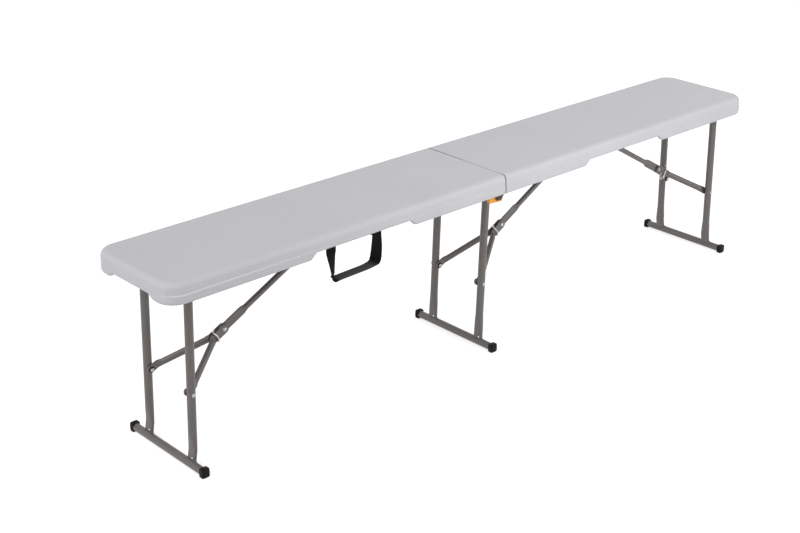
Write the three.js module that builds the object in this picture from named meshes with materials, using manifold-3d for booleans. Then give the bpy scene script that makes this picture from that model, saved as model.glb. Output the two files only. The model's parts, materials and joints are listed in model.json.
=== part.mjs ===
// Folding bench: two blow-moulded seat halves hinged at a seam, three folding leg frames
// with knee braces and wire locks, and a webbing strap to carry the folded bench by.
// Millimetres. X runs along the bench, Y across it and Z up. The origin is on the floor
// below the middle of the seat. The bench is shown unfolded, standing on its feet.

import * as THREE from 'three';
import { mergeVertices } from 'three/addons/utils/BufferGeometryUtils.js';
import Module from 'manifold-3d';

const wasm = await Module();
wasm.setup();

// Driving dimensions of the whole bench
const benchLength = 1830;
const seatWidth = 268;
const seatHeight = 441;
const footLength = 266;

// Clearances
const fitGap = 0.3;
const overrun = 4;

// Seat halves
const seamGap = 1;
const skirtDepth = 46.3;
const skirtWall = 9;
const deckThickness = 17;
const cornerRadius = 20;
const edgeRound = 13;
const ledgeDrop = 25;
const ledgeStep = 1.5;
const sideCutInner = 275;
const sideCutOuter = 570;
const sideCutRise = 13.3;
const endCutHalfWidth = 80;
const endCutRise = 9;
const cutSlope = 20;
const cutSlopeShares = [[0, 0], [0.25, 0.125], [0.75, 0.875], [1, 1]];

// Rails under the seat
const railHeight = 16;
const railWidth = 12;
const railWall = 1.5;
const strapRoom = 7;
const railHingeInset = 46;
const railEndInset = 37;

// Seam hinge
const hingeDrop = 1.3;
const hingePinRadius = 4;
const knuckleRadius = 9;
const knuckleAngles = [-180, -10];
const leafThickness = 3;
const leafReach = 82;
const leafShoulder = 27;
const leafEdge = 0.6;
const leafSeamInset = 1.5;
const pinHeadRadius = 7.4;
const pinHeadHeight = 1.8;

// Leg frames
const legTubeRadius = 9.25;
const tubeWall = 1.25;
const legInset = 28;
const flatHalfThickness = 5;
const flatHalfWidth = 12;
const flatLength = 30;
const flatTaper = 45;
const legEndRise = 3;
const footTubeRadius = 9;
const capRadius = 11.1;
const capLength = 15;
const capEnd = 3.2;
const capEdge = 2.4;
const capFlatDepth = 0.5;
const pivotDrop = 1.25;
const pivotRodRadius = 4;
const pivotPlugLength = 16;
const endInset = 81.5;
const rightEndInset = 60;
const endLegLean = 0.0298;
const endFootOffset = 7.4;
const braceRivetDrop = 247;
const middlePivotX = 8;
const middlePivotExtraDrop = 1.5;
const middleCrankOut = 14.7;
const middleCrankDrop = 40;
const crankShares = [[0.167, 0.333], [0.833, 0.833]];
const crankEndShare = 1.25;
const middleLegLean = 0.04;
const middleRivetDrop = 252;

// Braces
const leftAnchorReach = 472.5;
const rightAnchorReach = 420.5;
const anchorRadius = 5.5;
const anchorDrop = 9.5;
const anchorEndRadius = 4;
const anchorHeadRadius = 6.5;
const anchorHeadHeight = 1.8;
const sleeveRadius = 8.5;
const sleeveWidth = 13;
const braceTubeRadius = 6.5;
const plateHalfWidth = 10.5;
const plateThickness = 4;
const linkPlateThickness = 4;
const plateRun = 32;
const plateTaper = 8;
const linkPlateRun = 56;
const linkPlateTaper = 10;
const kneeEnd = 10.5;
const armFlatHalfWidth = 8.5;
const armFlatThickness = 5;
const armFlatRun = 14;
const armFlatTaper = 14;
const armGap = 0.6;
const neckHalfWidth = 7.4;
const linkOffset = 7;

// Rivets
const rivetRadius = 3;
const rivetHeadRadius = 5;
const rivetHeadHeight = 1.6;
const headTopShare = 0.8;

// Wire locks
const lockWireRadius = 1.4;
const lockSetback = 27;
const lockGap = 0.4;
const lockCurlRadius = 2.2;
const lockBend = 2;
const lockBow = 1.6;
const lockRingRadius = 6.2;
const lockRingDrop = 2.5;
const lockRingTilt = 1.5;

// Carrying strap
const strapWidth = 25;
const strapThickness = 2;
const strapAnchorGap = 24;
const strapSpan = 119.5;
const strapDrop = 71.5;
// Shares of the span and of the drop from the far end of the strap to its near end
const strapRunShares = [0, 0, 0, 0.004, 0.008, 0.012, 0.022, 0.05, 0.2, 0.7, 0.86, 0.95, 0.988, 1, 1, 1, 1];
const strapDropShares = [0, 0.15, 0.3, 0.5, 0.75, 0.93, 0.98, 1, 1, 1, 0.98, 0.945, 0.88, 0.78, 0.5, 0.15, 0];
// How far the webbing is turned about the vertical at each, in degrees
const strapTurnDegrees = [0, 0, 12, 24, 36, 44, 62, 84, 90, 92, 98, 112, 132, 148, 163, 180, 180];
const strapBarMargin = 15;
const strapBarHeight = 18;
const strapBarLug = 8.5;
const strapBarLap = 5;
const strapBarThickness = 1.6;
const strapPivotDrop = 3;

// Fold catch on the front of the hinge
const catchWidth = 8;
const catchPivotX = 31;
const catchEyeRadius = 6.5;
const catchNoseReach = 9;
const catchDepth = 14.5;
const catchBlade = 8;
const catchBevel = 2;
const catchEyeAngles = [30, 150];
const catchPinRadius = 2;
const catchPinHeadRadius = 3.6;
const catchPinHeadHeight = 1;
const leafTabNear = 1;
const leafTabFar = 14;

// How finely round shapes are divided
const tubeSides = 16;
const pinSides = 12;
const capSides = 20;
const wireSides = 6;
const wireSteps = 28;
const cornerSteps = 7;
const roundSteps = 4;
const edgeSteps = 2;

// How square a ring is, and the degrees at which a rounded end is drawn
const round = 2;
const softSquare = 4;
const nearlySquare = 6;
const endDegrees = [70, 40, 0];
const curlDegrees = [30, 90, 150];
const lockRingDegrees = [195, 225, 255, 285, 315, 345, 375, 405, 435];

// Heights and widths that follow from the sizes above
const deckUnder = seatHeight - deckThickness;
const skirtBottom = seatHeight - skirtDepth;
const sideCutBottom = skirtBottom + sideCutRise;
const hingeZ = skirtBottom - hingeDrop;
const skirtInnerY = seatWidth / 2 - skirtWall;
const railOuterY = skirtInnerY - strapRoom;
const railInnerY = railOuterY - railWidth;
const railMiddleY = (railOuterY + railInnerY) / 2;
const legSpread = railInnerY - legInset;
const railMiddleZ = deckUnder - railHeight / 2;
const railFarX = benchLength / 2 - railEndInset;
const footZ = capRadius - capFlatDepth;
const endPivotZ = deckUnder - legTubeRadius - pivotDrop;
const middlePivotZ = endPivotZ - middlePivotExtraDrop;
const foldedFootZ = sideCutBottom - capRadius - fitGap;
const leftPivotX = -(benchLength / 2 - endInset);
const rightPivotX = benchLength / 2 - rightEndInset;
const anchorZ = deckUnder - anchorDrop;
const leftAnchorX = leftPivotX + leftAnchorReach;
const rightAnchorX = rightPivotX - rightAnchorReach;
const outerLeafY = railOuterY + fitGap;
const innerLeafY = railInnerY - fitGap - leafThickness;
const plateLayer = linkPlateThickness / 2 + armGap + plateThickness / 2;
const strapPivotZ = deckUnder - railHeight - strapPivotDrop;
const strapNearX = -leftAnchorX + strapAnchorGap;
const strapFarX = strapNearX + strapSpan;
const strapY = -(railOuterY + fitGap + strapBarThickness + fitGap + strapThickness / 2);

// Finishes
const finish = (color, roughness, metalness) => (
  new THREE.MeshStandardMaterial({ color, roughness, metalness }));
const seatPlastic = finish(0xcfcfd3, 0.55, 0);
const greySteel = finish(0x5c5a57, 0.5, 0.4);
const zincSteel = finish(0xbdbdbb, 0.35, 0.9);
const blackPlastic = finish(0x161616, 0.6, 0);
const blackWebbing = finish(0x1d1d20, 0.9, 0);
const orangePlastic = finish(0xd07a22, 0.5, 0);

const bench = new THREE.Group();

// Adds a named piece to a group
function piece(name, shape, material, group = bench) {
  const mesh = new THREE.Mesh(shape, material);
  mesh.name = name;
  group.add(mesh);
  return mesh;
}

// Turns a geometry into a solid that can be cut and joined
function solid(geometry) {
  const bare = geometry.clone();
  bare.deleteAttribute('normal');
  bare.deleteAttribute('uv');
  const merged = mergeVertices(bare);
  const corners = [];
  const index = merged.index.array;
  for (let i = 0; i < index.length; i += 3) {
    const [a, b, c] = [index[i], index[i + 1], index[i + 2]];
    if (a !== b && b !== c && c !== a) corners.push(a, b, c);
  }
  return new wasm.Manifold(new wasm.Mesh({
    numProp: 3,
    vertProperties: new Float32Array(merged.attributes.position.array),
    triVerts: new Uint32Array(corners),
  }));
}

// Turns a solid back into a geometry
function shapeOf(body) {
  const mesh = body.getMesh();
  const geometry = new THREE.BufferGeometry();
  geometry.setAttribute('position', new THREE.BufferAttribute(mesh.vertProperties, mesh.numProp));
  geometry.setIndex(new THREE.BufferAttribute(mesh.triVerts, 1));
  return geometry;
}

const join = (...bodies) => bodies.reduce((sum, next) => sum.add(next));
const cut = (body, ...tools) => tools.reduce((rest, tool) => rest.subtract(tool), body);

// A box between two corners
function block([x0, y0, z0], [x1, y1, z1]) {
  const box = new THREE.BoxGeometry(x1 - x0, y1 - y0, z1 - z0);
  return solid(box.translate((x0 + x1) / 2, (y0 + y1) / 2, (z0 + z1) / 2));
}

// A round bar along Y between two places, centred on x and z
function crossBar(radius, y0, y1, x = 0, z = 0, sides = pinSides) {
  const bar = new THREE.CylinderGeometry(radius, radius, y1 - y0, sides);
  return solid(bar.translate(x, (y0 + y1) / 2, z));
}

// A turned piece along Y, from [radius, y] steps that start and end on the axis
function turned(profile, sides = pinSides) {
  const points = profile.map(([radius, y]) => new THREE.Vector2(radius, y));
  return solid(new THREE.LatheGeometry(points, sides));
}

// The same steps on both sides of the middle, from the far end to the near end
function mirroredAlong(profile) {
  return [...profile.map(([radius, y]) => [radius, -y]).reverse(), ...profile];
}

// A plate of an XZ outline, between two places along Y
function plate(outline, y0, y1) {
  const shape = new THREE.Shape(outline.map(([x, z]) => new THREE.Vector2(x, z)));
  const sheet = new THREE.ExtrudeGeometry(shape, { depth: y1 - y0, bevelEnabled: false });
  return solid(sheet.rotateX(Math.PI / 2).translate(0, y1, 0));
}

// Points of an arc from one angle to another, in degrees
function arc([x, z], radius, from, to, steps = roundSteps) {
  return Array.from({ length: steps + 1 }, (_, i) => {
    const angle = THREE.MathUtils.degToRad(from + (to - from) * i / steps);
    return [x + radius * Math.cos(angle), z + radius * Math.sin(angle)];
  });
}

// Skins a row of closed rings of equal count, with flat ends
function skin(rings) {
  const sides = rings[0].length;
  const corners = [];
  for (let r = 0; r + 1 < rings.length; r += 1) {
    for (let i = 0; i < sides; i += 1) {
      const [a, b] = [r * sides + i, r * sides + (i + 1) % sides];
      corners.push(a, b, b + sides, a, b + sides, a + sides);
    }
  }
  const last = (rings.length - 1) * sides;
  for (let i = 1; i + 1 < sides; i += 1) {
    corners.push(0, i + 1, i, last, last + i, last + i + 1);
  }
  const geometry = new THREE.BufferGeometry();
  geometry.setAttribute('position', new THREE.Float32BufferAttribute(rings.flat(2), 3));
  geometry.setIndex(corners);
  return solid(geometry);
}

// A ring of a given squareness, with half sizes across and up
function ring(square, across, up, place, sides = tubeSides) {
  return Array.from({ length: sides }, (_, i) => {
    const angle = 2 * Math.PI * (i + 1 / 2) / sides;
    const bulge = (value) => Math.sign(value) * Math.abs(value) ** (2 / square);
    return place(across * bulge(Math.cos(angle)), up * bulge(Math.sin(angle)));
  });
}

// Seat halves: a deck with a rounded edge and a skirt, open below and at the seam

function seatOutline(inset, seam, wall = 0) {
  const outer = benchLength / 2 - inset - wall;
  const side = seatWidth / 2 - inset - wall;
  const radius = cornerRadius - inset - wall;
  const corner = [outer - radius, side - radius];
  return [
    [seam, -side],
    ...arc([corner[0], -corner[1]], radius, -90, 0, cornerSteps),
    ...arc(corner, radius, 0, 90, cornerSteps),
    [seam, side],
  ];
}

function seatSlice(z, inset, seam, wall) {
  return seatOutline(inset, seam, wall).map(([x, y]) => [x, y, z]);
}

// A notch below the skirt with sloping ends, as an outline of length and height
function notch(from, to, rise) {
  const base = skirtBottom - overrun;
  const slope = cutSlopeShares.map(([run, up]) => [cutSlope * run, skirtBottom + rise * up]);
  return [
    [from, base],
    [to, base],
    ...slope.map(([run, z]) => [to - run, z]),
    ...slope.map(([run, z]) => [from + run, z]).reverse(),
  ];
}

function seatHalf() {
  const seam = seamGap / 2;
  const roundTop = arc([0, seatHeight - edgeRound], edgeRound, 0, 90);
  const ledgeZ = seatHeight - ledgeDrop;
  const outer = skin([
    seatSlice(skirtBottom, 0, seam),
    seatSlice(ledgeZ - ledgeStep, 0, seam),
    seatSlice(ledgeZ, ledgeStep, seam),
    ...roundTop.map(([x, z]) => seatSlice(z, ledgeStep + edgeRound - x, seam)),
  ]);
  const hollow = skin([
    seatSlice(skirtBottom - overrun, 0, seam - overrun, skirtWall),
    seatSlice(deckUnder, 0, seam - overrun, skirtWall),
  ]);
  const side = seatWidth / 2 + overrun;
  const sideCut = plate(notch(sideCutInner, sideCutOuter, sideCutRise), -side, side);
  const endNotch = plate(notch(-endCutHalfWidth, endCutHalfWidth, endCutRise), 0, benchLength / 2);
  const endCut = endNotch.rotate([0, 0, -90]).translate([cornerRadius, 0, 0]);
  return cut(outer, hollow, sideCut, endCut);
}

const half = shapeOf(seatHalf());
piece('seat_half_right', half, seatPlastic);
piece('seat_half_left', half, seatPlastic).rotation.z = Math.PI;

// Rails: rectangular tubes fixed under the deck, drilled for pivots and brace anchors

function rail(side, holes) {
  const low = deckUnder - railHeight;
  const [y0, y1] = side < 0 ? [-railOuterY, -railInnerY] : [railInnerY, railOuterY];
  const outside = block([railHingeInset, y0, low], [railFarX, y1, deckUnder]);
  const inside = block(
    [railHingeInset - overrun, y0 + railWall, low + railWall],
    [railFarX + overrun, y1 - railWall, deckUnder - railWall]);
  const drills = holes.map(([x, z]) => (
    crossBar(pivotRodRadius + fitGap, y0 - overrun, y1 + overrun, x, z)));
  return shapeOf(cut(outside, inside, ...drills));
}

const rightRailHoles = [[rightPivotX, endPivotZ], [rightAnchorX, anchorZ]];
const leftRailHoles = [[-leftPivotX, endPivotZ], [-leftAnchorX, anchorZ]];
piece('rail_right_front', rail(-1, rightRailHoles), greySteel);
piece('rail_right_rear', rail(1, rightRailHoles), greySteel);
piece('rail_left_front', rail(1, leftRailHoles), greySteel).rotation.z = Math.PI;
piece('rail_left_rear', rail(-1, leftRailHoles), greySteel).rotation.z = Math.PI;

// Seam hinge: a leaf on each rail, and a pin through each pair of leaves below the skirt

function leafOutline(tab) {
  const top = deckUnder - leafEdge;
  const low = deckUnder - railHeight + leafEdge;
  const tabZ = hingeZ - catchDepth;
  const knuckle = arc([0, hingeZ], knuckleRadius, ...knuckleAngles, cornerSteps);
  const tabbed = [
    knuckle[0],
    knuckle[1],
    [leafTabNear, tabZ],
    [leafTabFar, tabZ],
    [leafTabFar + catchPinRadius, hingeZ],
  ];
  return [
    ...(tab ? tabbed : knuckle),
    [leafShoulder, low],
    [leafReach, low],
    [leafReach, top],
    [leafSeamInset, top],
  ];
}

function leaf(direction, y0, holes, tab = false) {
  const outline = leafOutline(tab);
  const placed = direction > 0 ? outline : outline.map(([x, z]) => [-x, z]).reverse();
  const drills = holes.map(([x, z, radius]) => (
    crossBar(radius + fitGap, y0 - overrun, y0 + leafThickness + overrun, x, z)));
  return shapeOf(cut(plate(placed, y0, y0 + leafThickness), ...drills));
}

const hingeHole = [0, hingeZ, hingePinRadius];
const middleHole = [middlePivotX, middlePivotZ, pivotRodRadius];
const catchHole = [-catchPivotX, railMiddleZ, catchPinRadius];

for (const [side, sign] of [['front', -1], ['rear', 1]]) {
  const outerY = sign < 0 ? -outerLeafY - leafThickness : outerLeafY;
  const innerY = sign < 0 ? -innerLeafY - leafThickness : innerLeafY;
  const leftHoles = sign < 0 ? [hingeHole, catchHole] : [hingeHole];
  piece(`hinge_leaf_left_${side}`, leaf(-1, outerY, leftHoles, sign < 0), greySteel);
  piece(`hinge_leaf_right_${side}`, leaf(1, innerY, [hingeHole, middleHole]), greySteel);

  const outerFace = outerLeafY + leafThickness + fitGap;
  const innerFace = innerLeafY - fitGap;
  const pin = turned([
    [0, innerFace - pinHeadHeight],
    [pinHeadRadius, innerFace - pinHeadHeight],
    [pinHeadRadius, innerFace],
    [hingePinRadius, innerFace],
    [hingePinRadius, outerFace],
    [pinHeadRadius, outerFace],
    [pinHeadRadius, outerFace + pinHeadHeight],
    [0, outerFace + pinHeadHeight],
  ]);
  const placed = sign < 0 ? pin.rotate([0, 0, 180]) : pin;
  piece(`hinge_pin_${side}`, shapeOf(placed.translate([0, 0, hingeZ])), zincSteel);
}

// Fold catch: a sprung lever between the front leaves. Its blade runs below the hinge pin,
// behind the tab of the left leaf, where a finger can pull it down.
function foldCatch() {
  const low = hingeZ - catchDepth;
  const back = -catchPivotX - catchEyeRadius;
  const front = -catchPivotX + catchEyeRadius;
  const bevel = catchBevel;
  const outline = [
    [back, railMiddleZ],
    [back, low + bevel],
    [back + bevel, low],
    [catchNoseReach - bevel, low],
    [catchNoseReach, low + bevel],
    [catchNoseReach, low + catchBlade - bevel],
    [catchNoseReach - bevel, low + catchBlade],
    [front + bevel, low + catchBlade],
    [front, low + catchBlade + bevel],
    [front, railMiddleZ],
    ...arc([-catchPivotX, railMiddleZ], catchEyeRadius, ...catchEyeAngles),
  ];
  const lever = plate(outline, -railMiddleY - catchWidth / 2, -railMiddleY + catchWidth / 2);
  const hole = catchPinRadius + fitGap;
  return shapeOf(cut(lever, crossBar(hole, -railOuterY, -railInnerY, -catchPivotX, railMiddleZ)));
}

// The pin of the catch, headed outside the left leaf and inside the lever
function catchPin() {
  const inner = railMiddleY - catchWidth / 2 - fitGap;
  const outer = outerLeafY + leafThickness + fitGap;
  const pin = turned([
    [0, inner - catchPinHeadHeight],
    [catchPinHeadRadius, inner - catchPinHeadHeight],
    [catchPinHeadRadius, inner],
    [catchPinRadius, inner],
    [catchPinRadius, outer],
    [catchPinHeadRadius, outer],
    [catchPinHeadRadius, outer + catchPinHeadHeight],
    [0, outer + catchPinHeadHeight],
  ]);
  return shapeOf(pin.rotate([0, 0, 180]).translate([-catchPivotX, 0, railMiddleZ]));
}

piece('fold_catch', foldCatch(), orangePlastic);
piece('catch_pin', catchPin(), zincSteel);

// Leg frames, each in a group at its pivot. Inside the group X points the way the leg
// folds, inwards along its half, and Z is up.

// The middle line of a leg tube: how far it stands along X at a height below the pivot
function tubeLine(leg, z) {
  return leg.crankOut ? leg.lean * (z + leg.crankDrop) - leg.crankOut : leg.lean * z;
}

function legTube(leg, y) {
  const foot = leg.foot;
  const flatTop = foot.z + flatLength;
  const roundBottom = flatTop + flatTaper;
  const crankEnd = -leg.crankDrop * crankEndShare;
  const crank = leg.crankOut ? [
    ...crankShares.map(([out, down]) => ({ x: -leg.crankOut * out, z: -leg.crankDrop * down, flat: 0 })),
    { x: tubeLine(leg, crankEnd), z: crankEnd, flat: 0 },
  ] : [];
  const stations = [
    { x: 0, z: 0, flat: 0 },
    ...crank,
    { x: tubeLine(leg, roundBottom), z: roundBottom, flat: 0 },
    { x: tubeLine(leg, flatTop), z: flatTop, flat: 1 },
    { x: (tubeLine(leg, foot.z) + foot.x) / 2, z: foot.z + legEndRise, flat: 1 },
  ];
  const slice = ({ x, z, flat }, wall) => ring(
    flat ? softSquare : round,
    (flat ? flatHalfThickness : legTubeRadius) - wall,
    (flat ? flatHalfWidth : legTubeRadius) - wall,
    (across, up) => [x + across, y + up, z]);
  const outside = skin(stations.map((station) => slice(station, 0)).reverse());
  const bored = stations.slice(0, -1);
  bored[0] = { ...bored[0], z: overrun };
  const inside = skin(bored.map((station) => slice(station, tubeWall)).reverse());
  const reach = flatHalfWidth + overrun;
  const ends = [
    crossBar(legTubeRadius + fitGap, y - reach, y + reach, 0, 0, tubeSides),
    crossBar(footTubeRadius + fitGap, y - reach, y + reach, foot.x, foot.z, tubeSides),
    crossBar(rivetRadius + fitGap, y - reach, y + reach, leg.rivet.x, leg.rivet.z),
    block([-reach, y - reach, 0], [reach, y + reach, reach]),
  ];
  return shapeOf(cut(outside, inside, ...ends));
}

// A tube along Y, open at both ends
function openTube(radius, halfLength) {
  const outside = crossBar(radius, -halfLength, halfLength, 0, 0, tubeSides);
  const bore = crossBar(radius - tubeWall, -halfLength - overrun, halfLength + overrun, 0, 0, tubeSides);
  return cut(outside, bore);
}

// The rod that a pivot tube turns on: headed outside the rails or leaves, with a plug that
// fills each end of the tube
function pivotRod(tubeHalf, inner, outer) {
  const plug = (legTubeRadius - tubeWall) * Math.cos(Math.PI / tubeSides) - fitGap;
  const headTop = outer + fitGap + rivetHeadHeight;
  return shapeOf(turned(mirroredAlong([
    [pivotRodRadius, tubeHalf - pivotPlugLength],
    [plug, tubeHalf - pivotPlugLength],
    [plug, inner - fitGap],
    [pivotRodRadius, inner - fitGap],
    [pivotRodRadius, outer + fitGap],
    [anchorHeadRadius, outer + fitGap],
    [anchorHeadRadius, headTop],
    [0, headTop],
  ])));
}

// A foot cap: a cup over the end of the foot tube, with a flat below to stand on
function footCap(sign) {
  const end = footLength / 2;
  const edge = arc([capRadius - capEdge, end - capEdge], capEdge, 0, 90, edgeSteps);
  const cup = turned([
    [0, end - capLength],
    [capRadius, end - capLength],
    ...edge,
    [0, end],
  ], capSides);
  const mouth = end - capLength - overrun;
  const bore = crossBar(footTubeRadius + fitGap, mouth, end - capEnd, 0, 0, capSides);
  const flat = block(
    [-capRadius, mouth, -capRadius - overrun],
    [capRadius, end + overrun, capFlatDepth - capRadius]);
  const cap = cut(cup, bore, flat);
  return shapeOf(sign < 0 ? cap.mirror([0, 1, 0]) : cap);
}

// Braces. In a brace's own frame X runs from the leg rivet to the anchor, and Z is up.

// Where the middle of an arm runs across the bench as it leaves the knee
function neckFace(brace, sign) {
  return brace.offset + sign * (neckHalfWidth + linkPlateThickness / 2 + armGap);
}

// One arm of the fork: flat at the leg rivet, round in the middle, flat at the knee
function forkArm(brace, sign) {
  const legFace = sign * (legSpread - legTubeRadius - armGap - armFlatThickness / 2);
  const kneeFace = brace.offset + sign * plateLayer;
  const neck = brace.fork - plateRun - plateTaper;
  const slope = (x) => (x - armFlatRun) / (neck - armFlatRun);
  const between = (x) => legFace + (neckFace(brace, sign) - legFace) * slope(x);
  const flat = (x, y, thickness, half) => (
    ring(nearlySquare, thickness / 2, half, (across, up) => [x, y + across, up]));
  const tube = (x, y) => (
    ring(round, neckHalfWidth, braceTubeRadius, (across, up) => [x, y + across, up]));
  const roundedEnd = (x, radius, direction) => endDegrees.map((degrees) => {
    const angle = THREE.MathUtils.degToRad(degrees);
    return [x + direction * radius * Math.sin(angle), radius * Math.cos(angle)];
  });
  const rings = [
    ...roundedEnd(0, armFlatHalfWidth, -1).map(([x, half]) => flat(x, legFace, armFlatThickness, half)),
    flat(armFlatRun, legFace, armFlatThickness, armFlatHalfWidth),
    tube(armFlatRun + armFlatTaper, between(armFlatRun + armFlatTaper)),
    tube(neck, neckFace(brace, sign)),
    flat(brace.fork - plateRun, kneeFace, plateThickness, plateHalfWidth),
    ...roundedEnd(brace.fork, kneeEnd, 1).reverse()
      .map(([x, half]) => flat(x, kneeFace, plateThickness, half * plateHalfWidth / kneeEnd)),
  ];
  const far = legSpread + overrun;
  const arm = cut(skin(rings), crossBar(rivetRadius + fitGap, -far, far));
  if (sign === brace.kneeSide) {
    return shapeOf(cut(arm, crossBar(rivetRadius + fitGap, -far, far, brace.fork)));
  }
  const face = kneeFace + sign * plateThickness / 2;
  const head = turned([
    [0, 0],
    [rivetHeadRadius, 0],
    [rivetHeadRadius, fitGap],
    [rivetHeadRadius * headTopShare, rivetHeadHeight],
    [0, rivetHeadHeight],
  ]);
  const placed = sign < 0 ? head.rotate([0, 0, 180]) : head;
  return shapeOf(join(arm, placed.translate([brace.fork, face - sign * fitGap / 2, 0])));
}

// The link: a flat knee end, a round tube and a sleeve that turns on the anchor bar. Its X
// runs from the anchor to the knee.
function braceLink(brace) {
  const y = -brace.offset;
  const flat = (x, half) => (
    ring(nearlySquare, linkPlateThickness / 2, half, (across, up) => [x, y + across, up]));
  const tube = (x) => (
    ring(round, braceTubeRadius, braceTubeRadius, (across, up) => [x, y + across, up]));
  const end = endDegrees.map((degrees) => {
    const angle = THREE.MathUtils.degToRad(degrees);
    return flat(brace.link + kneeEnd * Math.sin(angle), plateHalfWidth * Math.cos(angle));
  });
  const bar = skin([
    tube(0),
    tube(brace.link - linkPlateRun - linkPlateTaper),
    flat(brace.link - linkPlateRun, plateHalfWidth),
    ...end.reverse(),
  ]);
  const sleeve = crossBar(sleeveRadius, y - sleeveWidth / 2, y + sleeveWidth / 2);
  const far = sleeveWidth + overrun;
  return shapeOf(cut(
    join(bar, sleeve),
    crossBar(anchorRadius + fitGap, y - far, y + far),
    crossBar(rivetRadius + fitGap, y - far, y + far, brace.link)));
}

// The knee rivet: a head and a shank in the fork's first plate. Its far end is the peened
// head that the second arm carries.
function kneeRivet(brace) {
  const inner = linkPlateThickness / 2 + armGap;
  const outer = inner + plateThickness + fitGap;
  const stud = turned([
    [0, inner],
    [rivetRadius, inner],
    [rivetRadius, outer],
    [rivetHeadRadius, outer],
    [rivetHeadRadius * headTopShare, outer + rivetHeadHeight],
    [0, outer + rivetHeadHeight],
  ]);
  const placed = brace.kneeSide < 0 ? stud.rotate([0, 0, 180]) : stud;
  return shapeOf(placed.translate([brace.fork, brace.offset, 0]));
}

// A rivet that holds one arm of a fork to its leg tube
function forkRivet(sign) {
  const inner = legSpread - legTubeRadius - armGap - armFlatThickness - fitGap;
  const outer = legSpread + legTubeRadius + fitGap;
  const rivet = turned([
    [0, inner - rivetHeadHeight],
    [rivetHeadRadius, inner - rivetHeadHeight],
    [rivetHeadRadius, inner],
    [rivetRadius, inner],
    [rivetRadius, outer],
    [rivetHeadRadius, outer],
    [rivetHeadRadius * headTopShare, outer + rivetHeadHeight],
    [0, outer + rivetHeadHeight],
  ]);
  return shapeOf(sign < 0 ? rivet.rotate([0, 0, 180]) : rivet);
}

// The wire lock: a bent wire that bows across the outer face of the fork's first plate and
// hooks round its edges. Its lower end is a small curl, or a ring to pull it by.
function lockWire(brace) {
  const inner = linkPlateThickness / 2 + armGap + lockWireRadius;
  const outer = inner + plateThickness + lockGap;
  const edge = plateHalfWidth + lockGap + lockWireRadius;
  const at = (x, y, z) => new THREE.Vector3(x, y, z);
  const hook = [at(0, outer, edge - lockBend), at(0, outer - lockBend / 2, edge), at(0, inner, edge)];
  const curl = curlDegrees.map((degrees) => {
    const angle = THREE.MathUtils.degToRad(degrees);
    return at(lockCurlRadius * (1 - Math.cos(angle)), inner, edge + lockCurlRadius * Math.sin(angle));
  });
  const upper = [...hook, ...curl];
  const curled = upper.map(({ x, y, z }) => at(x, y, -z)).reverse();
  const ringed = lockRingDegrees.map((degrees) => {
    const angle = THREE.MathUtils.degToRad(degrees);
    return at(
      lockRingRadius * (1 + Math.cos(angle)),
      outer + lockRingTilt * (1 - Math.sin(angle)),
      lockRingRadius * Math.sin(angle) - plateHalfWidth - lockRingDrop);
  }).reverse();
  const lower = brace.pullRing ? ringed : curled;
  const line = new THREE.CatmullRomCurve3(
    [...lower, at(lockBow, outer + lockBow, 0), ...upper], false, 'centripetal');
  const section = new THREE.Shape(ring(
    round, lockWireRadius, lockWireRadius, (across, up) => new THREE.Vector2(across, up), wireSides));
  const wire = new THREE.ExtrudeGeometry(section, {
    steps: wireSteps, bevelEnabled: false, extrudePath: line,
  });
  const placed = brace.kneeSide < 0 ? solid(wire).mirror([0, 1, 0]) : solid(wire);
  return shapeOf(placed.translate([brace.fork - lockSetback, brace.offset, 0]));
}

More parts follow.
